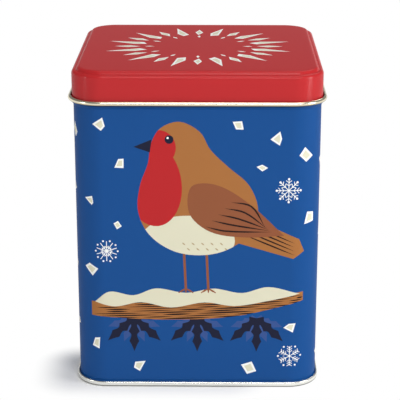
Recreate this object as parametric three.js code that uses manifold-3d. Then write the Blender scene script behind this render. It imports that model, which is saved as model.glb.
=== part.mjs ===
// A square slip-lid cookie tin, pressed and folded from tinplate.
//
// Three pressings: a body wall bent from one sheet, a recessed base locked to it by a double
// seam, and a lid that slips over the neck and stops on a bead. Every piece is drawn as the
// centre line of its sheet, seen in section at the middle of a wall. The section is thickened
// to the sheet's gauge, then carried round the rounded square of the body.
//
// Millimetres, +Z up. The origin is the centre of the footprint, on the surface the tin stands
// on. -Y is the front.
import * as THREE from "three";
import { mergeVertices } from "three/addons/utils/BufferGeometryUtils.js";
import Module from "manifold-3d";

const wasm = await Module();
wasm.setup();

// ---- Driving dimensions ----
const bodyWidth = 130; // X, outside the straight walls
const bodyDepth = 130; // Y
const cornerRadius = 16; // outside the wall
const totalHeight = 175; // from the table to the top of the lid
const sheet = 0.3; // tinplate gauge
const lidDepth = 17.5; // from the foot of the lid's curl to the top of its panel
const slipClearance = 0.45; // between the neck and the lid's skirt
const headClearance = 0.6; // between the body's hem and the underside of the lid

// ---- Lid details ----
const lidCurl = 2.5; // outside diameter of the rolled edge
const lidCurlTurn = 280; // degrees of roll
const panelStep = 1.7; // how far the raised panel stands above the ledge
const panelInset = 2.9; // from the skirt's outside to the middle of the step
const stepRun = 0.8; // width of the sloping step
const skirtBend = 1.6; // centre line radius between ledge and skirt
const stepBend = 0.6;

// ---- Body details ----
const hemCurl = 2.0; // outside diameter of the edge rolled inwards at the mouth
const hemCurlTurn = 285;
const beadProud = 1.0; // the bead that the lid stops on
const beadHeight = 3.4;
const beadLap = 1.1; // how far the bead's upper flank reaches inside the lid's flared foot
const sideSeamWidth = 5; // folded lock seam inside the back wall
const sideSeamLayers = 2; // layers added to the wall's own
const sideSeamEndGap = 1.2; // where the lock stops short of the base and of the bead

// ---- Base and double seam ----
const seamHeight = 2.8;
const foldGap = 0.15; // between the seam's folded layers
const panelRecess = 3.2; // underside of the base panel above the table
const chuckBend = 0.6;
const footBend = 0.55;
const hookGap = 0.3; // between the end of a hook and the fold it reaches into
const ringInset = 8; // stiffening ring pressed in the base panel
const ringDepth = 0.8;
const ringRun = 1.2;
const ringBend = 0.6;

// ---- Facets ----
const cornerFacets = 6; // around each corner of the body
const bendFacets = 3; // around a right-angled fold
const curlFacets = 11; // around a rolled edge
const beadFacets = 8;

// ---- Sheets in section ----
// A section is drawn in [offset, z]: offset is measured outwards from the wall's outside face.

const degrees = THREE.MathUtils.degToRad;
const half = sheet / 2;
const shortestStep = 1e-4; // two bends that meet share a point, which is kept once

// Points round an arc of a sheet's centre line, from one angle to another, both in degrees.
function arc([cx, cz], radius, from, to, facets) {
  return Array.from({ length: facets + 1 }, (_, i) => {
    const angle = degrees(from + ((to - from) * i) / facets);
    return new THREE.Vector2(cx + radius * Math.cos(angle), cz + radius * Math.sin(angle));
  });
}

// Rounds the inner corners of a bent centre line. Each corner is [offset, z, bend radius].
function bent(corners) {
  const line = [];
  corners.forEach(([x, z, radius = 0], i) => {
    const here = new THREE.Vector2(x, z);
    if (radius === 0) {
      line.push(here);
      return;
    }
    const back = new THREE.Vector2(...corners[i - 1]).sub(here).normalize();
    const ahead = new THREE.Vector2(...corners[i + 1]).sub(here).normalize();
    const between = Math.acos(THREE.MathUtils.clamp(back.dot(ahead), -1, 1));
    const centre = back
      .clone()
      .add(ahead)
      .normalize()
      .multiplyScalar(radius / Math.sin(between / 2))
      .add(here);
    const reach = radius / Math.tan(between / 2);
    const start = back.clone().multiplyScalar(reach).add(here).sub(centre);
    const end = ahead.clone().multiplyScalar(reach).add(here).sub(centre);
    const turn = Math.atan2(start.cross(end), start.dot(end));
    const facets = Math.max(2, Math.ceil((Math.abs(turn) / (Math.PI / 2)) * bendFacets));
    for (let k = 0; k <= facets; k++)
      line.push(
        start
          .clone()
          .rotateAround(new THREE.Vector2(), (turn * k) / facets)
          .add(centre),
      );
  });
  return line.filter((point, i) => i === 0 || point.distanceTo(line[i - 1]) > shortestStep);
}

// The two faces of a sheet that follows a centre line: left of the direction of travel, and right.
function faces(line) {
  const directions = line
    .slice(1)
    .map((point, i) => point.clone().sub(line[i]).normalize());
  const side = (sign) =>
    line.map((point, i) => {
      const before = directions[Math.max(i - 1, 0)];
      const after = directions[Math.min(i, directions.length - 1)];
      const mitre = before.clone().add(after).normalize();
      const reach = half / Math.max(mitre.dot(before), 0.5);
      return new THREE.Vector2(-mitre.y, mitre.x).multiplyScalar(sign * reach).add(point);
    });
  return { left: side(1), right: side(-1) };
}

// ---- Sweeping a section round the body's plan ----

// Plan directions round the body, counter-clockwise from above: corner centre and outward direction.
const stations = [0, 1, 2, 3].flatMap((quarter) => {
  const middle = degrees(45 + 90 * quarter);
  const centre = new THREE.Vector2(
    Math.sign(Math.cos(middle)) * (bodyWidth / 2 - cornerRadius),
    Math.sign(Math.sin(middle)) * (bodyDepth / 2 - cornerRadius),
  );
  return Array.from({ length: cornerFacets + 1 }, (_, i) => {
    const angle = degrees(90 * (quarter + i / cornerFacets));
    return { centre, out: new THREE.Vector2(Math.cos(angle), Math.sin(angle)) };
  });
});

function ring(point) {
  return stations.map(({ centre, out }) => {
    const plan = out.clone().multiplyScalar(cornerRadius + point.x).add(centre);
    return [plan.x, plan.y, point.y];
  });
}

// Joins rings made from the points of an outline. A closed outline gives a hoop. An open one
// starts and ends on a flat panel, and both ends are filled across.
function swept(outline, closed) {
  const count = stations.length;
  const positions = outline.flatMap((point) => ring(point).flat());
  const index = [];
  const last = closed ? outline.length : outline.length - 1;
  for (let row = 0; row < last; row++)
    for (let i = 0; i < count; i++) {
      const next = (i + 1) % count;
      const other = (row + 1) % outline.length;
      const [a, b] = [row * count + i, row * count + next];
      const [c, d] = [other * count + i, other * count + next];
      index.push(a, b, d, a, d, c);
    }
  if (!closed) {
    const fill = (row, z, upwards) => {
      const hub = positions.length / 3;
      positions.push(0, 0, z);
      for (let i = 0; i < count; i++) {
        const [a, b] = [row * count + i, row * count + ((i + 1) % count)];
        index.push(...(upwards ? [hub, a, b] : [hub, b, a]));
      }
    };
    fill(0, outline[0].y, false);
    fill(outline.length - 1, outline.at(-1).y, true);
  }
  const geometry = new THREE.BufferGeometry();
  geometry.setAttribute("position", new THREE.Float32BufferAttribute(positions, 3));
  geometry.setIndex(index);
  return geometry;
}

// A hoop of sheet, such as the wall: its line runs upwards, so that its right face is outside.
function hoop(line) {
  const { left, right } = faces(line);
  return swept([...right, ...left.reverse()], true);
}

// A pressing with a flat panel in the middle: its line runs outwards from the panel, so that
// its right face is underneath.
function pressing(line) {
  const { left, right } = faces(line);
  return swept([...right, ...left.reverse()], false);
}

// ---- Joining with manifold-3d ----

function solid(geometry) {
  const bare = geometry.clone();
  bare.deleteAttribute("normal");
  bare.deleteAttribute("uv");
  const merged = mergeVertices(bare, 1e-4);
  const vertProperties = new Float32Array(merged.attributes.position.array);
  const triVerts = new Uint32Array(merged.index.array);
  return new wasm.Manifold(new wasm.Mesh({ numProp: 3, vertProperties, triVerts }));
}

function geometryOf(manifold) {
  const { vertProperties, triVerts } = manifold.getMesh();
  const geometry = new THREE.BufferGeometry();
  geometry.setAttribute("position", new THREE.BufferAttribute(vertProperties, 3));
  geometry.setIndex(new THREE.BufferAttribute(triVerts, 1));
  return geometry;
}

// ---- Where things meet ----

// Offsets of the sheets' centre lines, worked outwards through the layers of the double seam.
const layer = sheet + foldGap;
const wallLine = -half;
const chuckLine = wallLine - layer;
const coverHookLine = wallLine + layer;
const bodyHookLine = wallLine + 2 * layer;
const seamWallLine = wallLine + 3 * layer;
const skirtLine = slipClearance + half;

const curlFoot = totalHeight - lidDepth; // lowest point of the lid's curl
const beadTop = curlFoot + beadLap;
const ledgeLine = totalHeight - panelStep - half;
const hemTop = ledgeLine - half - headClearance;

// ---- Body wall ----

// The bead swells smoothly out of the wall and back.
function bead() {
  return Array.from({ length: beadFacets + 1 }, (_, i) => {
    const share = i / beadFacets;
    const swell = beadProud * Math.sin(Math.PI * share) ** 2;
    return new THREE.Vector2(wallLine + swell, beadTop - beadHeight * (1 - share));
  });
}

function bodyWall() {
  const foldLine = sheet + foldGap + half; // the body hook's lowest run, above the base's own
  const hemRadius = hemCurl / 2 - half;
  const line = [
    ...bent([
      [bodyHookLine, seamHeight - sheet - hookGap],
      [bodyHookLine, foldLine, layer],
      [wallLine, foldLine, layer],
      [wallLine, (seamHeight + beadTop - beadHeight) / 2],
    ]),
    ...bead(),
    ...arc([wallLine - hemRadius, hemTop - hemCurl / 2], hemRadius, 0, hemCurlTurn, curlFacets),
  ];
  return hoop(line);
}

// The lock seam that closes the bent sheet: folded layers lying flat inside the back wall.
function sideSeam() {
  const foot = panelRecess + sheet + sideSeamEndGap;
  const head = beadTop - beadHeight - sideSeamEndGap;
  const bite = half; // how far it reaches into the wall that it is folded from
  const thickness = sideSeamLayers * sheet + bite;
  const strip = new THREE.BoxGeometry(sideSeamWidth, thickness, head - foot);
  strip.translate(0, bodyDepth / 2 - sheet + bite - thickness / 2, (foot + head) / 2);
  return strip;
}

// ---- Base ----

function basePan() {
  const panelLine = panelRecess + half;
  const ringStart = -ringInset;
  const line = bent([
    [ringStart - 2 * ringRun, panelLine + ringDepth],
    [ringStart - ringRun, panelLine + ringDepth, ringBend],
    [ringStart, panelLine, ringBend],
    [chuckLine, panelLine, chuckBend],
    [chuckLine, half, footBend],
    [seamWallLine, half, footBend],
    [seamWallLine, seamHeight - half, layer],
    [coverHookLine, seamHeight - half, layer],
    [coverHookLine, sheet + foldGap + sheet + hookGap],
  ]);
  return pressing(line);
}

// ---- Lid ----

function lid() {
  const stepMiddle = skirtLine + half - panelInset;
  const curlRadius = lidCurl / 2 - half;
  const curlCentre = [skirtLine + curlRadius, curlFoot + lidCurl / 2];
  const line = [
    ...bent([
      [stepMiddle - 4 * stepRun, totalHeight - half],
      [stepMiddle - stepRun / 2, totalHeight - half, stepBend],
      [stepMiddle + stepRun / 2, ledgeLine, stepBend],
      [skirtLine, ledgeLine, skirtBend],
      [skirtLine, curlCentre[1]],
    ]),
    ...arc(curlCentre, curlRadius, 180, 180 + lidCurlTurn, curlFacets).slice(1),
  ];
  return pressing(line);
}

// ---- Materials ----

const bluePrint = new THREE.MeshStandardMaterial({ color: 0x1c4f8c, roughness: 0.4, metalness: 0.1 });
const redPrint = new THREE.MeshStandardMaterial({ color: 0xb83336, roughness: 0.4, metalness: 0.1 });
const tinplate = new THREE.MeshStandardMaterial({ color: 0xd8d5cb, roughness: 0.3, metalness: 1 });

// ---- Assembly ----

function piece(name, geometry, material) {
  const mesh = new THREE.Mesh(geometry, material);
  mesh.name = name;
  return mesh;
}

const tin = new THREE.Group();
tin.name = "cookie_tin";
tin.add(
  piece("body_wall", geometryOf(solid(bodyWall()).add(solid(sideSeam()))), bluePrint),
  piece("base_pan", basePan(), tinplate),
  piece("lid", lid(), redPrint),
);

export default tin;
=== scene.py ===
# A square slip-lid cookie tin: printed body, recessed base in a double seam, printed lid.
import random
from bisect import bisect_right
from math import atan2, ceil, cos, pi, radians, sin, tan

import bmesh
import bpy
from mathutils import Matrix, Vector
from mathutils.geometry import delaunay_2d_cdt


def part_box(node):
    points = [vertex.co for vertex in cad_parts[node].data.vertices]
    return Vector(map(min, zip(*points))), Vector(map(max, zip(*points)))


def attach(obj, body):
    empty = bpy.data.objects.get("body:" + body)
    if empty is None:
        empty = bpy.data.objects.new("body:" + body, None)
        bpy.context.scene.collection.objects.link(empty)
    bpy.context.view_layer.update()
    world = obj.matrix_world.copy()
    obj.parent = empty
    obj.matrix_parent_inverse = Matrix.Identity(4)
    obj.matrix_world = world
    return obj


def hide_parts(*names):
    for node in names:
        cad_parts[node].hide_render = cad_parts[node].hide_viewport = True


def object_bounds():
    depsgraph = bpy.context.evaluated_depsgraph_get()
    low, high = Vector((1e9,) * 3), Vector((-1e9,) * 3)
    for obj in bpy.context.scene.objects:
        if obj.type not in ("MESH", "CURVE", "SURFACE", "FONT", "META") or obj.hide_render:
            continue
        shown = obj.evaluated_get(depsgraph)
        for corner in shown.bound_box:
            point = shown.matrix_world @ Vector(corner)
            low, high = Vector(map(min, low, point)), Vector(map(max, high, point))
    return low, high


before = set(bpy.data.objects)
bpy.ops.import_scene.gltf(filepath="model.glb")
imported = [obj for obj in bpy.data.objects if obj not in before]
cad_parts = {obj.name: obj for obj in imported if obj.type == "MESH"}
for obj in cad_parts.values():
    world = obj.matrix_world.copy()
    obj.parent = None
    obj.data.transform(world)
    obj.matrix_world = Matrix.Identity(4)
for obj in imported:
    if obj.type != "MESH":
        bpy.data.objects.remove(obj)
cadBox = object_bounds()
mm = 0.001
leastEdge = 0.02  # millimetres; nearer points in an outline are one point

# What the sheets share, in millimetres, as wherever a section or a picture is drawn.
tin = {
    "half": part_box("base_pan")[1].x / mm - 1.35,  # the double seam stands 1.35 proud of the wall
    "corner": 16.0,
    "height": cadBox[1].z / mm,
    "gauge": 0.3,
    "foldGap": 0.15,  # between the double seam's layers
    "cornerSteps": 16,
    "bendSteps": 6,
}
layer = tin["gauge"] + tin["foldGap"]
wallLine = -tin["gauge"] / 2


class Socket:
    # One value in a node tree. Arithmetic on it adds Math nodes.
    def __init__(self, graph, link):
        self.graph = graph
        self.link = link

    def maths(self, operation, *values):
        return self.graph.add("ShaderNodeMath", {"operation": operation}, dict(enumerate(values)))

    def __add__(self, other):
        return self.maths("ADD", self, other)

    def __sub__(self, other):
        return self.maths("SUBTRACT", self, other)

    def __rsub__(self, other):
        return self.maths("SUBTRACT", other, self)

    def __mul__(self, other):
        return self.maths("MULTIPLY", self, other)

    __radd__ = __add__
    __rmul__ = __mul__


class Graph:
    def __init__(self, tree, keep=False):
        self.tree = tree
        if not keep:
            tree.nodes.clear()

    # Adds a node: its own settings first, then a value or a link for each socket.
    def add(self, kind, settings=None, values=None, output=0):
        node = self.tree.nodes.new(kind)
        for name, value in (settings or {}).items():
            if name == "stops":
                ramp = node.color_ramp.elements
                for stop, (place, colour) in zip(ramp, value):
                    stop.position, stop.color = place, colour
                for place, colour in value[2:]:
                    ramp.new(place).color = colour
            else:
                setattr(node, name, value)
        for name, value in (values or {}).items():
            if isinstance(value, Socket):
                self.tree.links.new(value.link, node.inputs[name])
            else:
                node.inputs[name].default_value = value
        return Socket(self, node.outputs[output]) if node.outputs else node


# The camera stands in front and looks down on the lid. Places are in widths of the body.
shot = {
    "place": (0.0779, -6.0685, 2.612),
    "down": 17.83,  # degrees
    "turn": 0.68,
    "lens": 130.6,
}


def placeCamera():
    width = 2 * tin["half"] * mm
    data = bpy.data.cameras.new("camera")
    data.lens = shot["lens"]
    data.sensor_width = 36
    camera = bpy.data.objects.new("camera", data)
    camera.location = Vector(shot["place"]) * width
    camera.rotation_euler = (radians(90 - shot["down"]), 0, radians(shot["turn"]))
    bpy.context.scene.collection.objects.link(camera)
    bpy.context.scene.camera = camera


placeCamera()
print("camera placed")


# Finishes. A printed sheet is ink under a satin varnish; the ink's own colour is even.
varnish = {
    "roughness": 0.36,
    "mottle": 0.07,  # how far the roughness wanders
    "peelSize": 700,  # ripples of the varnish, per metre
    "peelDepth": 0.00002,
    "gloss": 0.0,
    "coat": 0.2,
    "lidCoat": 0.36,
    "coatRoughness": 0.2,
}
inks = {
    "blue": (0.008, 0.070, 0.255),
    "red": (0.465, 0.021, 0.024),
    "brown": (0.375, 0.150, 0.045),
    "rust": (0.27, 0.090, 0.040),
    "bark": (0.018, 0.010, 0.010),
    "navy": (0.012, 0.014, 0.035),
    "dusk": (0.040, 0.085, 0.26),
    "cream": (0.70, 0.675, 0.51),
    "white": (0.88, 0.89, 0.86),
    "straw": (0.46, 0.36, 0.20),
}


def finish(name, values, roughness, mottle, size, depth, stretch=(1, 1, 1)):
    material = bpy.data.materials.new(name)
    material.use_nodes = True
    graph = Graph(material.node_tree)
    place = graph.add("ShaderNodeTexCoord", output=3)
    place = graph.add("ShaderNodeMapping", None, {"Vector": place, "Scale": stretch})
    noise = {"Vector": place, "Detail": 3.0}
    broad = graph.add("ShaderNodeTexNoise", None, {**noise, "Scale": size / 20})
    fine = graph.add("ShaderNodeTexNoise", None, {**noise, "Scale": size})
    bump = graph.add("ShaderNodeBump", None, {"Height": fine, "Distance": depth, "Strength": 1.0})
    shader = graph.add(
        "ShaderNodeBsdfPrincipled",
        None,
        {**values, "Roughness": (broad - 0.5) * (2 * mottle) + roughness, "Normal": bump},
    )
    graph.add("ShaderNodeOutputMaterial", None, {"Surface": shader})
    return material


def printed(name, colour, coat):
    look = {
        "Base Color": (*colour, 1),
        "Specular IOR Level": varnish["gloss"],
        "Coat Weight": coat,
        "Coat Roughness": varnish["coatRoughness"],
    }
    return finish(
        name, look, varnish["roughness"], varnish["mottle"], varnish["peelSize"], varnish["peelDepth"]
    )


# A bare or lacquered metal. Given a foot, it carries a painted shade: its colour is the given dark colour
# up to one height and blends to its own colour above another.
def metal(name, colour, roughness, depth, stretch, foot=None):
    look = {"Base Color": (*colour, 1), "Metallic": 1.0}
    material = finish(name, look, roughness, 0.08, 900, depth, stretch)
    if foot:
        shadeColour, low, high = foot
        graph = Graph(material.node_tree, keep=True)
        place = graph.add("ShaderNodeTexCoord", output=3)
        height = graph.add("ShaderNodeSeparateXYZ", None, {"Vector": place}, output=2)
        # The painted shade: the dark colour below the low height, the metal's own colour above the high
        # one.
        unshaded = graph.add(
            "ShaderNodeMapRange",
            {"interpolation_type": "SMOOTHSTEP"},
            {"Value": height, "From Min": low * mm, "From Max": high * mm},
        )
        tone = graph.add(
            "ShaderNodeMix", {"data_type": "RGBA"}, {0: unshaded, 6: (*shadeColour, 1), 7: (*colour, 1)}, output=2
        )
        graph.tree.links.new(tone.link, material.node_tree.nodes["Principled BSDF"].inputs["Base Color"])
    return material


ink = {name: printed(f"{name} ink", colour, varnish["coat"]) for name, colour in inks.items()}
ink["lid red"] = printed("lid red ink", inks["red"], varnish["lidCoat"])
lacquer = metal("gold lacquer", (0.83, 0.70, 0.44), 0.26, 0.000012, (1, 1, 0.15))
tinplate = metal("tinplate", (0.84, 0.84, 0.79), 0.24, 0.000015, (0.12, 0.12, 1))
# The seam's tinplate has painted contact shade: it darkens towards its foot, from 1.1 mm up to 0.4 mm.
seamPlate = metal(
    "seam tinplate", (0.84, 0.84, 0.79), 0.24, 0.000015, (0.12, 0.12, 1), ((0.11, 0.105, 0.095), 0.4, 1.1)
)
curlFoot = tin["height"] - 17.5
# The rolled edge's lacquer has painted shade on the curl's underside: dark up to 0.25 mm above the curl's
# foot, blending to its own colour by 1.15 mm.
rimLacquer = metal(
    "rim lacquer",
    (0.80, 0.73, 0.55),
    0.22,
    0.000012,
    (1, 1, 0.15),
    ((0.16, 0.13, 0.08), curlFoot + 0.25, curlFoot + 1.15),
)
print("finishes ready")


# Sections are drawn in (offset, z): the offset runs outwards from the wall's outside face.
def arc(centre, radius, start, end, steps):
    angles = [radians(start + (end - start) * k / steps) for k in range(steps + 1)]
    return [Vector((centre[0] + radius * cos(a), centre[1] + radius * sin(a))) for a in angles]


# Rounds the corners of a sheet's centre line. A corner is (offset, z) or (offset, z, bend radius).
def bent(corners):
    line = []
    for k, corner in enumerate(corners):
        here = Vector(corner[:2])
        radius = corner[2] if len(corner) > 2 else 0
        if not radius:
            line.append(here)
            continue
        back = (Vector(corners[k - 1][:2]) - here).normalized()
        ahead = (Vector(corners[k + 1][:2]) - here).normalized()
        half = back.angle(ahead) / 2
        centre = here + (back + ahead).normalized() * radius / sin(half)
        start = here + back * radius / tan(half) - centre
        turn = start.angle_signed(here + ahead * radius / tan(half) - centre)
        steps = max(2, ceil(abs(turn) / (pi / 2) * tin["bendSteps"]))
        for step in range(steps + 1):
            a = -turn * step / steps
            spoke = Vector((start.x * cos(a) - start.y * sin(a), start.x * sin(a) + start.y * cos(a)))
            line.append(centre + spoke)
    return [p for k, p in enumerate(line) if k == 0 or (p - line[k - 1]).length > 1e-4]


# The two faces of a sheet along its centre line: left of the direction of travel, and right.
def sheetFaces(line):
    ways = [(b - a).normalized() for a, b in zip(line, line[1:])]
    left, right = [], []
    for k, point in enumerate(line):
        before, after = ways[max(k - 1, 0)], ways[min(k, len(ways) - 1)]
        mitre = (before + after).normalized()
        reach = tin["gauge"] / 2 / max(mitre.dot(before), 0.5)
        side = Vector((-mitre.y, mitre.x)) * reach
        left.append(point + side)
        right.append(point - side)
    return left, right


def geometryTree(name, inputs):
    tree = bpy.data.node_groups.new(name, "GeometryNodeTree")
    graph = Graph(tree)
    kinds = {"Geometry": "NodeSocketGeometry", float: "NodeSocketFloat", int: "NodeSocketInt"}
    tree.interface.new_socket("Geometry", in_out="OUTPUT", socket_type=kinds["Geometry"])
    tree.interface.new_socket("Geometry", in_out="INPUT", socket_type=kinds["Geometry"])
    for label, kind in inputs.items():
        tree.interface.new_socket(label, in_out="INPUT", socket_type=kinds[kind])
    tree.interface.new_socket("Finish", in_out="INPUT", socket_type="NodeSocketMaterial")
    source = tree.nodes.new("NodeGroupInput")
    return graph, {s.name: Socket(graph, s) for s in source.outputs if s.name}


def endTree(graph, geometry, material):
    made = graph.add("GeometryNodeRealizeInstances", None, {"Geometry": geometry})
    made = graph.add("GeometryNodeSetMaterial", None, {"Geometry": made, "Material": material})
    graph.add("NodeGroupOutput", None, {"Geometry": made})
    return graph.tree


# Carries a section round the rounded square of the tin.
def sweepTree():
    graph, given = geometryTree(
        "section round the tin",
        {"Width": float, "Depth": float, "Corner Radius": float, "Corner Steps": int},
    )
    plan = graph.add(
        "GeometryNodeCurvePrimitiveQuadrilateral",
        None,
        {"Width": given["Width"], "Height": given["Depth"]},
    )
    plan = graph.add(
        "GeometryNodeFilletCurve",
        {"mode": "POLY"},
        {"Curve": plan, "Radius": given["Corner Radius"], "Count": given["Corner Steps"]},
    )
    upright = graph.add(
        "GeometryNodeTransform", None, {"Geometry": given["Geometry"], "Rotation": (pi / 2, 0, 0)}
    )
    section = graph.add("GeometryNodeMeshToCurve", None, {"Mesh": upright})
    skin = graph.add("GeometryNodeCurveToMesh", None, {"Curve": plan, "Profile Curve": section})
    return endTree(graph, skin, given["Finish"])


# Turns copies of one drawn arm evenly round a centre.
def turnTree():
    graph, given = geometryTree("arm turned round a centre", {"Copies": int, "First Turn": float})
    spots = graph.add("GeometryNodePoints", None, {"Count": given["Copies"]})
    index = graph.add("GeometryNodeInputIndex")
    turn = index * (2 * pi) * given["Copies"].maths("DIVIDE", 1.0, given["Copies"]) + given["First Turn"]
    rotation = graph.add(
        "FunctionNodeAxisAngleToRotation", None, {"Axis": (0, 0, 1), "Angle": turn}
    )
    arms = graph.add(
        "GeometryNodeInstanceOnPoints",
        None,
        {"Points": spots, "Instance": given["Geometry"], "Rotation": rotation},
    )
    return endTree(graph, arms, given["Finish"])


# Puts an irregular four-sided chip at each point.
def chipTree():
    graph, given = geometryTree("chips at points", {"Least": float, "Most": float, "Seed": int})
    chip = graph.add("GeometryNodeMeshCircle", {"fill_type": "NGON"}, {"Vertices": 4, "Radius": 1.0})
    size = graph.add(
        "FunctionNodeRandomValue",
        {"data_type": "FLOAT"},
        {2: given["Least"], 3: given["Most"], "Seed": given["Seed"]},
        output=1,
    )
    turn = graph.add(
        "FunctionNodeRandomValue", {"data_type": "FLOAT"}, {3: 2 * pi, "Seed": given["Seed"] + 1}, output=1
    )
    rotation = graph.add(
        "FunctionNodeAxisAngleToRotation", None, {"Axis": (0, 0, 1), "Angle": turn}
    )
    chips = graph.add(
        "GeometryNodeInstanceOnPoints",
        None,
        {"Points": given["Geometry"], "Instance": chip, "Rotation": rotation, "Scale": size},
    )
    chips = graph.add("GeometryNodeRealizeInstances", None, {"Geometry": chips})
    shift = graph.add(
        "FunctionNodeRandomValue",
        {"data_type": "FLOAT_VECTOR"},
        {0: (-1.4, -1.4, 0), 1: (1.4, 1.4, 0), "Seed": given["Seed"] + 2},
    )
    chips = graph.add("GeometryNodeSetPosition", None, {"Geometry": chips, "Offset": shift})
    return endTree(graph, chips, given["Finish"])


sweep, turned, chipped = sweepTree(), turnTree(), chipTree()


# Runs a tree on a mesh and gives the result as a plain mesh.
def grown(mesh, tree, inputs):
    host = bpy.data.objects.new(mesh.name, mesh)
    bpy.context.scene.collection.objects.link(host)
    modifier = host.modifiers.new(tree.name, "NODES")
    modifier.node_group = tree
    sockets = {item.name: item.identifier for item in tree.interface.items_tree if item.in_out == "INPUT"}
    for label, value in inputs.items():
        modifier[sockets[label]] = value
    evaluated = host.evaluated_get(bpy.context.evaluated_depsgraph_get())
    result = bpy.data.meshes.new_from_object(evaluated)
    bpy.data.objects.remove(host)
    bpy.data.meshes.remove(mesh)
    return result


def swept(section, material):
    mesh = bpy.data.meshes.new("section")
    points = [(p.x * mm, 0, p.y * mm) for p in section]
    mesh.from_pydata(points, [(k, k + 1) for k in range(len(points) - 1)], [])
    return grown(
        mesh,
        sweep,
        {
            "Width": 2 * tin["half"] * mm,
            "Depth": 2 * tin["half"] * mm,
            "Corner Radius": tin["corner"] * mm,
            "Corner Steps": tin["cornerSteps"],
            "Finish": material,
        },
    )


# A pressed or folded piece: swept strips, each with its finish, and patches that close it.
class Piece:
    def __init__(self, name, body, node, slot):
        self.name, self.body, self.node, self.slot = name, body, node, slot
        self.shape = bmesh.new()
        self.finishes = []

    def slotOf(self, material):
        if material not in self.finishes:
            self.finishes.append(material)
        return self.finishes.index(material)

    def strip(self, section, material):
        mesh = swept(section, material)
        old = set(self.shape.faces)
        self.shape.from_mesh(mesh)
        bpy.data.meshes.remove(mesh)
        for face in self.shape.faces:
            if face not in old:
                face.material_index = self.slotOf(material)

    # The ring of vertices at a height and an offset, in order round the tin.
    def ring(self, point):
        found = [
            v
            for v in self.shape.verts
            if abs(v.co.z / mm - point.y) < 1e-3 and abs(offsetOf(v.co) - point.x) < 2e-2
        ]
        return sorted(found, key=lambda v: atan2(v.co.y, v.co.x))

    # Adds faces of given materials, over points that meet the strips' rings.
    def patch(self, points, faces):
        corners = [self.shape.verts.new(p) for p in points]
        for face, material in faces:
            made = self.shape.faces.new([corners[k] for k in face])
            made.material_index = self.slotOf(material)

    def panel(self, point, material):
        made = self.shape.faces.new(self.ring(point))
        made.material_index = self.slotOf(material)

    def close(self):
        bmesh.ops.remove_doubles(self.shape, verts=self.shape.verts, dist=1e-6)
        bmesh.ops.recalc_face_normals(self.shape, faces=self.shape.faces)
        if self.shape.calc_volume(signed=True) < 0:
            bmesh.ops.reverse_faces(self.shape, faces=self.shape.faces)
        loose = [e for e in self.shape.edges if len(e.link_faces) != 2]
        print(self.name, "faces", len(self.shape.faces), "open edges", len(loose))

    def finish(self, keepNormals=None):
        mesh = bpy.data.meshes.new(self.name)
        self.shape.to_mesh(mesh)
        self.shape.free()
        for material in self.finishes:
            mesh.materials.append(material)
        mesh.shade_smooth()
        mesh.set_sharp_from_angle(angle=radians(40))
        if keepNormals:
            keepNormals(mesh)
        piece = bpy.data.objects.new(self.name, mesh)
        bpy.context.scene.collection.objects.link(piece)
        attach(piece, self.body)
        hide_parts(self.node)
        return piece


# How far a point lies outside the body's rounded square, in millimetres, and the way outwards.
def outwards(place):
    reach = tin["half"] - tin["corner"]
    inner = Vector((max(-reach, min(reach, place.x / mm)), max(-reach, min(reach, place.y / mm))))
    return Vector((place.x / mm, place.y / mm)) - inner


def offsetOf(place):
    return outwards(place).length - tin["corner"]


print("sections and trees ready")


# Pictures are drawn flat, in millimetres, with x to the viewer's right and y upwards.
# An outline's points are joined by a smooth curve, but (x, y, 1) is a sharp corner.
def smooth(points, closed=True, steps=6):
    spots = [Vector(p[:2]) for p in points]
    sharp = [len(p) > 2 for p in points]
    count, line = len(points), []

    def heading(k, length):
        before, after = spots[k - 1], spots[(k + 1) % count]
        if not closed and k in (0, count - 1):
            before, after = spots[max(k - 1, 0)], spots[min(k + 1, count - 1)]
        way = after - before
        span = (after - spots[k]).length + (spots[k] - before).length
        return way * length / max(span, 1e-6)

    for k in range(count if closed else count - 1):
        n = (k + 1) % count
        length = (spots[n] - spots[k]).length
        if sharp[k] and sharp[n]:
            line.append(spots[k])
            continue
        leave = (spots[n] - spots[k]) if sharp[k] else heading(k, length)
        reach = (spots[n] - spots[k]) if sharp[n] else heading(n, length)
        for step in range(steps):
            t = step / steps
            line.append(
                (2 * t**3 - 3 * t**2 + 1) * spots[k]
                + (t**3 - 2 * t**2 + t) * leave
                + (3 * t**2 - 2 * t**3) * spots[n]
                + (t**3 - t**2) * reach
            )
    return line if closed else line + [spots[-1]]


# A brush stroke along a line, thickest at a share of its length and pointed at its ends.
def stroke(points, width, belly=0.5, blunt=0.0, steps=5):
    line = smooth(points, closed=False, steps=steps)
    last = len(line) - 1
    left, right = [], []
    for k, spot in enumerate(line):
        way = (line[min(k + 1, last)] - line[max(k - 1, 0)]).normalized()
        share = k / last
        swell = share / belly if share < belly else (1 - share) / (1 - belly)
        side = Vector((-way.y, way.x)) * width / 2 * max(blunt, min(1, swell * 1.6))
        left.append(spot + side)
        right.append(spot - side)
    if blunt:
        return right + left[::-1]
    return right + left[-2:0:-1]


def oval(centre, across, up, turn=0, count=20):
    a = radians(turn)
    ring = [2 * pi * k / count for k in range(count)]
    return [
        Vector(
            (
                centre[0] + across * cos(t) * cos(a) - up * sin(t) * sin(a),
                centre[1] + across * cos(t) * sin(a) + up * sin(t) * cos(a),
            )
        )
        for t in ring
    ]


def moved(outline, way, scale=1.0, turn=0.0):
    a = radians(turn)
    return [
        Vector(
            (
                way[0] + scale * (p[0] * cos(a) - p[1] * sin(a)),
                way[1] + scale * (p[0] * sin(a) + p[1] * cos(a)),
            )
        )
        for p in outline
    ]


def counterClockwise(outline):
    turns = sum(a.x * b.y - b.x * a.y for a, b in zip(outline, outline[1:] + outline[:1]))
    return outline if turns > 0 else outline[::-1]


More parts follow.
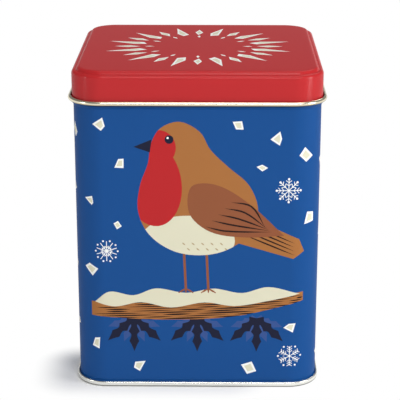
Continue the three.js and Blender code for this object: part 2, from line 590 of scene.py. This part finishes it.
# Inks laid one over another on a sheet, then cut into faces of one ink each.
class Print:
    def __init__(self, ground):
        self.ground = ground
        self.shapes = []

    # inside is the number of an earlier shape that this one is trimmed to.
    def lay(self, outline, colour, inside=None):
        line = [p for k, p in enumerate(outline) if (p - outline[k - 1]).length > leastEdge]
        self.shapes.append((counterClockwise(line), colour, inside))
        return len(self.shapes)

    def top(self, under):
        for number in sorted(under - {0}, reverse=True):
            _, colour, inside = self.shapes[number - 1]
            if inside is None or inside in under:
                return colour
        return self.ground

    def cut(self, border, lines=()):
        points, faces, edges = [], [], []
        for outline in [border] + [shape[0] for shape in self.shapes]:
            faces.append(list(range(len(points), len(points) + len(outline))))
            points += outline
        for line in lines:
            edges += [(len(points) + k, len(points) + k + 1) for k in range(len(line) - 1)]
            points += line
        spots, _, pieces, _, _, origins = delaunay_2d_cdt(points, edges, faces, 1, 1e-4, True)
        inside = [(p, self.top(set(o))) for p, o in zip(pieces, origins) if 0 in o]
        return spots, inside


# One closed shape for each face of a mesh that a tree has grown.
def outlinesOf(mesh):
    shapes = [[mesh.vertices[k].co.xy.copy() for k in face.vertices] for face in mesh.polygons]
    bpy.data.meshes.remove(mesh)
    return shapes


def drawn(outlines):
    mesh = bpy.data.meshes.new("drawn arm")
    points = [(p[0], p[1], 0) for outline in outlines for p in outline]
    faces, start = [], 0
    for outline in outlines:
        faces.append(list(range(start, start + len(outline))))
        start += len(outline)
    mesh.from_pydata(points, [], faces)
    return mesh


def turnedCopies(outlines, copies, first=0.0):
    inputs = {"Copies": copies, "First Turn": radians(first), "Finish": ink["white"]}
    return outlinesOf(grown(drawn(outlines), turned, inputs))


def middle(outline):
    return sum(outline, Vector((0, 0))) / len(outline)


# Snow chips: a white shape with a cream one inside it.
def layChips(sheet, spots, seed, least=2.6, most=3.6):
    mesh = bpy.data.meshes.new("chip points")
    mesh.from_pydata([(x, y, 0) for x, y in spots], [], [])
    inputs = {"Least": least, "Most": most, "Seed": seed, "Finish": ink["white"]}
    for chip in outlinesOf(grown(mesh, chipped, inputs)):
        heart = middle(chip)
        sheet.lay(chip, ink["white"])
        sheet.lay([heart + (p - heart) * 0.62 for p in chip], ink["cream"])


# Snowflakes: thin crystal arms turned round a centre, with a ring of dots between or on them.
flakes = {
    "barred": {"arms": 8, "bars": (2.6, 4.3), "spread": 1.5, "dot": 0.62, "dotAt": 6.3, "dotTurn": 0},
    "starred": {"arms": 10, "bars": (1.9,), "spread": 1.1, "dot": 0.52, "dotAt": 5.9, "dotTurn": 18},
    "plumed": {
        "arms": 6, "bars": (2.2, 3.5, 4.8), "spread": 1.35, "dot": 0.55, "dotAt": 6.2, "dotTurn": 30,
    },
}


def layFlake(sheet, spot, kind, scale=1.0, turn=0.0):
    shape = flakes[kind]
    arm = [stroke([(0, 0), (0, 5.6)], 0.5, blunt=0.8, steps=1)]
    for bar in shape["bars"]:
        tip = bar + shape["spread"] * 0.8
        arm.append(stroke([(0, bar), (shape["spread"], tip)], 0.42, blunt=0.8, steps=1))
        arm.append(stroke([(0, bar), (-shape["spread"], tip)], 0.42, blunt=0.8, steps=1))
    dots = [oval((0, shape["dotAt"]), shape["dot"], shape["dot"], count=10)]
    crystal = turnedCopies(arm, shape["arms"]) + turnedCopies(dots, shape["arms"], shape["dotTurn"])
    for outline in crystal:
        sheet.lay(moved(outline, spot, scale, turn), ink["white"])


# The picture on the front: a plain robin on a level branch. Its origin is the foot of the front's middle.
robin = {
    "body": [
        (-9, 149), (-19, 145.5), (-24, 137), (-25.5, 127), (-30, 114), (-31, 100), (-25, 87), (-12, 78),
        (4, 76), (18, 80), (29, 90), (32, 102), (27, 115), (16, 125), (7, 134), (1.5, 143.5),
    ],
    "tail": [(20, 101, 1), (54, 85, 1), (57, 78, 1), (51, 74, 1), (14, 85, 1)],
    "wing": [(-3, 114), (10, 115), (27, 105), (46, 87, 1), (25, 86), (7, 89), (-4, 99)],
    "bill": [(-23.5, 139.5, 1), (-33, 135.5, 1), (-24.5, 132.5, 1)],
    "belly": ((-5, 84), 25, 14, 0),
    "reds": [((-23, 115), 15, 23, 6), ((-20, 135), 9, 9.5, 0)],
    "eye": (-14.5, 139.5),
    "legs": [(-7, 79), (5, 78)],
}
branch = {
    "wood": [
        (-57, 41, 1), (-57, 49, 1), (-20, 52), (20, 52), (57, 55, 1), (57, 50, 1), (20, 41), (-20, 39),
    ],
    "snow": [
        (-55, 49, 1), (-47, 55), (-34, 53), (-22, 57), (-6, 54.5), (9, 57), (24, 54.5), (38, 58),
        (55, 54, 1), (38, 50), (20, 47), (4, 49), (-14, 46), (-30, 49), (-44, 46.5),
    ],
    "grain": 9,
}


def drawRobin(sheet, at):
    def lay(outline, colour, inside=None):
        return sheet.lay(moved(outline, (at, 0)), ink[colour], inside)

    tail = lay(smooth(robin["tail"]), "brown")
    for k in range(4):  # quill lines
        lay(stroke([(24, 95 - 2.4 * k), (52, 82.5 - 2.2 * k)], 0.8), "bark", tail)
    for x, y in robin["legs"]:
        lay(stroke([(x, y), (x + 1, 56)], 1.3, blunt=1.0), "rust")
        for toe in (-4, 0, 4):
            lay(stroke([(x + 1, 57), (x + 1 + toe, 54.5)], 1.0, blunt=0.5), "rust")
    body = lay(smooth(robin["body"]), "brown")
    lay(oval(*robin["belly"], count=40), "cream", body)
    for spot in robin["reds"]:
        lay(oval(*spot, count=40), "red", body)
    for row in range(2):  # flecks on the belly
        for k in range(5):
            x, y = -8 + 5 * k + 2.5 * row, 83 - 3 * row
            lay(stroke([(x, y), (x + 1.8, y - 1.5)], 0.75), "straw", body)
    wing = lay(smooth(robin["wing"]), "rust")
    for k in range(5):  # flight feathers
        start = Vector((4 + 3.4 * k, 92 + 3.4 * k))
        lay(stroke([start, start + Vector((11, -2.5)), (40 - k, 89 + 0.6 * k)], 0.9), "bark", wing)
    lay(smooth(robin["bill"]), "navy")
    x, y = robin["eye"]
    lay(oval((x, y), 2.3, 2.3), "navy")
    lay(oval((x - 0.7, y + 0.8), 0.6, 0.6, count=12), "white")


def drawBranch(sheet, at):
    def lay(outline, colour, inside=None):
        return sheet.lay(moved(outline, (at, 0)), ink[colour], inside)

    dice = random.Random(5)
    wood = lay(smooth(branch["wood"]), "brown")
    for row in range(branch["grain"]):
        share = (row + 0.5) / branch["grain"]
        start = -56 + dice.uniform(0, 8)
        while start < 54:
            end = min(57, start + dice.uniform(12, 34))
            heights = [41 - 1.5 * cos(x / 57) + 11 * share + 2.5 * x / 57 for x in (start, end)]
            line = [(start, heights[0]), (end, heights[1])]
            lay(stroke(line, dice.uniform(0.5, 0.9)), "bark", wood)
            start = end + dice.uniform(0.5, 2)
    lay(smooth(branch["snow"]), "cream")


# A spiny leaf with its tip at the right: points with hollows between them.
def spinyLeaf(length, width, spines=3):
    upper = []
    for k in range(spines):
        share = (k + 0.4) / spines
        upper.append((length * share, width / 2 * (1.1 - 0.35 * share), 1))
        upper.append((length * (share + 0.35 / spines), width / 4.2))
    lower = [(p[0], -p[1], *p[2:]) for p in reversed(upper)]
    return smooth([(0, 0, 1)] + upper + [(length * 1.15, 0, 1)] + lower, steps=3)


# Fans of leaves that hang under the branch.
sprig = {
    "places": (-34, 0, 32),
    "fans": {
        "dusk": {"leaf": (13, 5), "turns": (-160, -112, -68, -20)},
        "navy": {"leaf": (17, 6.5), "turns": (-137, -90, -43)},
    },
}


def drawSprig(sheet, at):
    for colour, fan in sprig["fans"].items():
        for place in sprig["places"]:
            for turn in fan["turns"]:
                sheet.lay(moved(spinyLeaf(*fan["leaf"]), (at + place, 40), 1.0, turn), ink[colour])


# The body: a wall with a hook in the double seam, a bead for the lid to stop on and a rolled mouth.
wall = {
    "hookTop": 2.2,  # seam height less the sheet and the hook's gap
    "bandLow": 1.6,  # the printed band starts hidden behind the seam
    "groove": (1.9, 4.2),  # the wall is drawn in a little where it meets the seam
    "grooveDepth": 0.26,
    "grooveSteps": 8,
    "beadTop": tin["height"] - 16.4,
    "beadHeight": 3.4,
    "beadProud": 1.0,
    "beadSteps": 20,
    "hemTop": tin["height"] - 2.6,
    "hemCurl": 2.0,
    "hemTurn": 285,
    "curlSteps": 28,
}
wall["bandHigh"] = wall["beadTop"] - wall["beadHeight"] - 0.4


def wallSection():
    fold = tin["gauge"] + tin["foldGap"] + tin["gauge"] / 2
    hook = bent(
        [
            (wallLine + 2 * layer, wall["hookTop"]),
            (wallLine + 2 * layer, fold, layer),
            (wallLine, fold, layer),
            (wallLine, wall["bandLow"]),
        ]
    )
    bead = [Vector((wallLine, wall["bandHigh"]))]
    for k in range(wall["beadSteps"] + 1):
        share = k / wall["beadSteps"]
        swell = wall["beadProud"] * sin(pi * share) ** 2
        bead.append(Vector((wallLine + swell, wall["beadTop"] - wall["beadHeight"] * (1 - share))))
    radius = (wall["hemCurl"] - tin["gauge"]) / 2
    centre = (wallLine - radius, wall["hemTop"] - wall["hemCurl"] / 2)
    hem = arc(centre, radius, 0, wall["hemTurn"], wall["curlSteps"])
    return hook, bead, hem


# Lays the plan of a ring out flat, from the back left corner round by the front.
class Plan:
    def __init__(self, ring):
        start = atan2(tin["half"], tin["corner"] - tin["half"]) - 0.01
        self.spots = sorted((v.co.copy() for v in ring), key=lambda c: (atan2(c.y, c.x) - start) % (2 * pi))
        self.spots.append(self.spots[0])
        self.along = [0.0]
        for a, b in zip(self.spots, self.spots[1:]):
            self.along.append(self.along[-1] + (b - a).xy.length / mm)
        self.length = self.along[-1]
        flat = 2 * (tin["half"] - tin["corner"])
        self.left = self.length / 4 - flat / 2
        self.front = self.left + self.length / 4
        self.right = self.front + self.length / 4
        self.back = self.right + self.length / 4

    def place(self, spot):
        k = min(max(bisect_right(self.along, spot.x) - 1, 0), len(self.along) - 2)
        share = (spot.x - self.along[k]) / (self.along[k + 1] - self.along[k])
        point = self.spots[k].lerp(self.spots[k + 1], share).to_2d()
        low, high = wall["groove"]
        drawnIn = (spot.y - low) / (high - low)
        if 0 < drawnIn < 1:
            point -= outwards(point).normalized() * wall["grooveDepth"] * sin(pi * drawnIn) ** 2 * mm
        return Vector((point.x, point.y, spot.y * mm))


frontSnow = {
    "chips": [
        (-50, 148), (-40, 126), (-56, 106), (-42, 92), (-57, 68), (22, 147), (42, 140), (57, 131),
        (33, 124), (60, 96), (-54, 25), (-32, 12), (28, 11), (50, 35),
    ],
    "flakes": [(48, 112, "barred"), (-48, 78, "starred"), (50, 18, "plumed")],
}


# Snow for the sides with no picture: chips and flakes on a loose grid, from one station to another.
def fallingSnow(dice, start, end):
    chips, crystals = [], []
    rows, columns = 8, round((end - start) / 17)
    for row in range(rows):
        for column in range(columns):
            x = start + (column + 0.25 + 0.5 * (row % 2)) * (end - start) / columns
            y = 8 + (row + 0.5) * 143 / rows
            spot = (x + dice.uniform(-4, 4), y + dice.uniform(-4, 4))
            (crystals if (row * 3 + column * 2) % 7 == 3 else chips).append(spot)
    return chips, crystals


def wallPrint(plan):
    sheet = Print(ink["blue"])
    drawSprig(sheet, plan.front)
    drawBranch(sheet, plan.front)
    drawRobin(sheet, plan.front)
    layChips(sheet, [(plan.front + x, y) for x, y in frontSnow["chips"]], 7)
    for x, y, kind in frontSnow["flakes"]:
        layFlake(sheet, Vector((plan.front + x, y)), kind)
    dice = random.Random(3)
    for start, end in ((10, plan.front - 68), (plan.front + 72, plan.length - 12)):
        chips, crystals = fallingSnow(dice, start, end)
        layChips(sheet, chips, dice.randrange(100))
        for k, spot in enumerate(crystals):
            kind = list(flakes)[k % len(flakes)]
            layFlake(sheet, Vector(spot), kind, dice.uniform(0.8, 1.25), dice.uniform(0, 40))
    return sheet


# Faces on the outside of the wall take the true rounded square's normals, however they are cut.
def wallNormals(mesh):
    normals = [Vector(n.vector) for n in mesh.corner_normals]
    for face in mesh.polygons:
        for k in face.loop_indices:
            way = outwards(mesh.vertices[mesh.loops[k].vertex_index].co)
            flush = abs(way.length - tin["corner"]) < 0.03 and abs(face.normal.z) < 0.02
            if flush and face.normal.xy.dot(way) > 0:
                normals[k] = Vector((way.x, way.y, 0)).normalized()
    mesh.normals_split_custom_set(normals)


def makeWall():
    hook, bead, hem = wallSection()
    left, right = sheetFaces(hook + bead + hem)
    low, high, neck = len(hook), len(hook) + len(bead), len(right)
    piece = Piece("bodyWall", "can", "body_wall", "blue_print")
    piece.strip(right[:low], tinplate)
    piece.strip(right[low:high], ink["blue"])
    piece.strip(right[high - 1 : neck] + left[-1:], tinplate)
    piece.strip(left[::-1] + right[:1], lacquer)
    foot, head = piece.ring(right[low - 1]), piece.ring(right[low])
    plan = Plan(foot)
    bottom = [Vector((s, right[low - 1].y)) for s in plan.along]
    top = [Vector((s, right[low].y)) for s in plan.along]
    lines = [list(pair) for pair in zip(bottom, top)]
    start, end = wall["groove"]
    for k in range(wall["grooveSteps"] + 1):
        height = start + (end - start) * k / wall["grooveSteps"]
        lines.append([Vector((0, height)), Vector((plan.length, height))])
    spots, cut = wallPrint(plan).cut(bottom + top[::-1], lines)
    piece.patch([plan.place(spot) for spot in spots], cut)
    piece.close()
    return piece.finish(wallNormals)


# The lid: a raised panel, a ledge and a skirt with its edge rolled outwards, which shows the lacquer.
lidShape = {
    "foot": tin["height"] - 17.5,
    "curl": 2.5,
    "curlTurn": 280,
    "curlSteps": 28,
    "step": 1.7,
    "inset": 2.9,
    "stepRun": 0.8,
    "skirtBend": 1.6,
    "panelBend": 1.3,
    "stepBend": 0.6,
    "slip": 0.45,
}
burst = {
    "rays": 12,
    "long": [(0.4, 52), (-3.1, 36.5), (-1.3, 29.5), (2.7, 32.5)],
    "short": [(0, 46.5), (-2.3, 39), (-0.6, 32), (2.2, 38)],
    "small": [(0, 29.8), (-0.9, 27.4), (0, 24.2), (0.9, 27)],
}


def lidPrint():
    sheet = Print(ink["lid red"])
    step = 360 / burst["rays"]
    rays = turnedCopies([burst["long"]], burst["rays"], step / 2)
    rays += turnedCopies([burst["short"]], burst["rays"])
    for ray in rays:
        heart = middle(ray)
        sheet.lay(ray, ink["white"])
        sheet.lay([heart + (p - heart) * 0.6 for p in ray], ink["cream"])
    for chip in turnedCopies([burst["small"]], burst["rays"]):
        sheet.lay(chip, ink["white"])
    return sheet


def makeLid():
    half = tin["gauge"] / 2
    skirt = lidShape["slip"] + half
    middleOfStep = skirt + half - lidShape["inset"]
    top, ledge = tin["height"] - half, tin["height"] - lidShape["step"] - half
    radius = (lidShape["curl"] - tin["gauge"]) / 2
    centre = (skirt + radius, lidShape["foot"] + lidShape["curl"] / 2)
    line = bent(
        [
            (middleOfStep - 4 * lidShape["stepRun"], top),
            (middleOfStep - lidShape["stepRun"] / 2, top, lidShape["panelBend"]),
            (middleOfStep + lidShape["stepRun"] / 2, ledge, lidShape["stepBend"]),
            (skirt, ledge, lidShape["skirtBend"]),
            (skirt, centre[1]),
        ]
    )
    line += arc(centre, radius, 180, 180 + lidShape["curlTurn"], lidShape["curlSteps"])[1:]
    left, right = sheetFaces(line)
    piece = Piece("lid", "lid", "lid", "red_print")
    piece.strip(left, ink["lid red"])
    folded = len(right) - lidShape["curlSteps"]
    piece.strip(left[-1:] + right[: folded - 2 : -1], rimLacquer)
    piece.strip(right[folded - 1 :: -1], lacquer)
    border = [v.co.xy / mm for v in piece.ring(left[0])]
    spots, cut = lidPrint().cut(border)
    piece.patch([Vector((s.x, s.y, left[0].y)) * mm for s in spots], cut)
    piece.panel(right[0], lacquer)
    piece.close()
    return piece.finish()


# The base: a recessed panel whose rim folds round the wall's hook.
base = {
    "seamHeight": 2.8,
    "recess": 3.2,
    "chuckBend": 0.6,
    "footBend": 0.55,
    "hookGap": 0.3,
    "ringInset": 8,
    "ringDepth": 0.8,
    "ringRun": 1.2,
    "ringBend": 0.6,
}


def makeBase():
    half = tin["gauge"] / 2
    panel, ring, run = base["recess"] + half, -base["ringInset"], base["ringRun"]
    line = bent(
        [
            (ring - 2 * run, panel + base["ringDepth"]),
            (ring - run, panel + base["ringDepth"], base["ringBend"]),
            (ring, panel, base["ringBend"]),
            (wallLine - layer, panel, base["chuckBend"]),
            (wallLine - layer, half, base["footBend"]),
            (wallLine + 3 * layer, half, base["footBend"]),
            (wallLine + 3 * layer, base["seamHeight"] - half, layer),
            (wallLine + layer, base["seamHeight"] - half, layer),
            (wallLine + layer, 2 * tin["gauge"] + tin["foldGap"] + base["hookGap"]),
        ]
    )
    left, right = sheetFaces(line)
    piece = Piece("basePan", "can", "base_pan", "tinplate")
    piece.strip(right, seamPlate)
    piece.strip(right[-1:] + left[::-1], lacquer)
    piece.panel(right[0], seamPlate)
    piece.panel(left[0], lacquer)
    piece.close()
    return piece.finish()


makeWall()
print("body wall done")
makeBase()
print("base done")
makeLid()
print("lid done")


# A pale floor, a pale world and soft lamps.
studio = {
    "floor": 0.93,
    "world": 0.22,
    "horizon": (0.12, 0.18),  # the world is white up to the first height and plain above the second
    "shade": ((-66, -56), (16, -36)),  # the floor keeps its shading round here and is white further off
    "fade": (3, 27),
    "lamps": {
        "key": {"place": (0.4, -1.6, 1.4), "size": (1.5, 0.45), "power": 21},
        "above": {"place": (0.15, 0.0, 1.5), "size": (0.8, 0.8), "power": 5},
        "right": {"place": (0.75, -0.35, 0.3), "size": (0.25, 0.5), "power": 3.2},
        "left": {"place": (-0.9, -0.45, 0.3), "size": (0.15, 0.5), "power": 1.2},
        "behind": {"place": (0.6, 1.2, 1.5), "size": (0.8, 0.8), "power": 5},
    },
}


def lightStudio():
    middleOfTin = Vector((0, 0, tin["height"] / 2 * mm))
    for name, lamp in studio["lamps"].items():
        data = bpy.data.lights.new(name, "AREA")
        data.shape = "RECTANGLE"
        data.size, data.size_y = lamp["size"]
        data.energy = lamp["power"]
        light = bpy.data.objects.new(name, data)
        light.location = lamp["place"]
        aim = middleOfTin - light.location
        light.rotation_euler = aim.to_track_quat("-Z", "Y").to_euler()
        light.visible_camera = False
        bpy.context.scene.collection.objects.link(light)
    world = bpy.data.worlds.new("pale room")
    bpy.context.scene.world = world
    world.use_nodes = True
    graph = Graph(world.node_tree)
    way = graph.add("ShaderNodeTexCoord")
    height = graph.add("ShaderNodeSeparateXYZ", None, {"Vector": way}, output=2)
    low, high = studio["horizon"]
    white = graph.add(
        "ShaderNodeMapRange",
        {"interpolation_type": "SMOOTHSTEP"},
        {"Value": height, "From Min": low, "From Max": high, "To Min": 1 - studio["world"], "To Max": 0},
    )
    strength = showsBackground(graph) * white + studio["world"]
    glow = graph.add("ShaderNodeBackground", None, {"Color": (1, 1, 1, 1), "Strength": strength})
    graph.add("ShaderNodeOutputWorld", None, {"Surface": glow})


# Whether a ray shows the background as it is: one from the camera, or by way of metal or glass.
def showsBackground(graph):
    shows = graph.add("ShaderNodeLightPath")
    for output in (3, 6):
        shows = shows.maths("MAXIMUM", shows, graph.add("ShaderNodeLightPath", output=output))
    return shows


def paper():
    material = bpy.data.materials.new("paper floor")
    material.use_nodes = True
    graph = Graph(material.node_tree)
    place = graph.add("ShaderNodeTexCoord", output=3)
    apart = 0.0
    for axis, (start, end) in enumerate(zip(*studio["shade"])):
        along = graph.add("ShaderNodeSeparateXYZ", None, {"Vector": place}, output=axis)
        beyond = along - (start + end) / 2 * mm
        beyond = beyond.maths("ABSOLUTE", beyond) - (end - start) / 2 * mm
        beyond = beyond.maths("MAXIMUM", beyond, 0.0)
        apart = beyond.maths("POWER", beyond, 2.0) + apart
    apart = apart.maths("SQRT", apart)
    near, far = studio["fade"]
    white = graph.add(
        "ShaderNodeMapRange",
        {"interpolation_type": "SMOOTHSTEP"},
        {"Value": apart, "From Min": near * mm, "From Max": far * mm},
    )
    sheet = graph.add(
        "ShaderNodeBsdfPrincipled",
        None,
        {"Base Color": (studio["floor"],) * 3 + (1,), "Roughness": 0.9, "Specular IOR Level": 0.0},
    )
    glow = graph.add("ShaderNodeEmission", None, {"Color": (1, 1, 1, 1), "Strength": 1.0})
    seen = white * showsBackground(graph)
    sheet = graph.add("ShaderNodeMixShader", None, {0: seen, 1: sheet, 2: glow})
    graph.add("ShaderNodeOutputMaterial", None, {"Surface": sheet})
    return material


def layFloor():
    mesh = bpy.data.meshes.new("floor")
    shape = bmesh.new()
    bmesh.ops.create_circle(shape, cap_ends=True, segments=96, radius=6)
    shape.to_mesh(mesh)
    shape.free()
    mesh.materials.append(paper())
    floor = bpy.data.objects.new("floor", mesh)
    bpy.context.scene.collection.objects.link(floor)


lightStudio()
layFloor()
bpy.context.scene.view_settings.view_transform = "Standard"
print("studio ready")
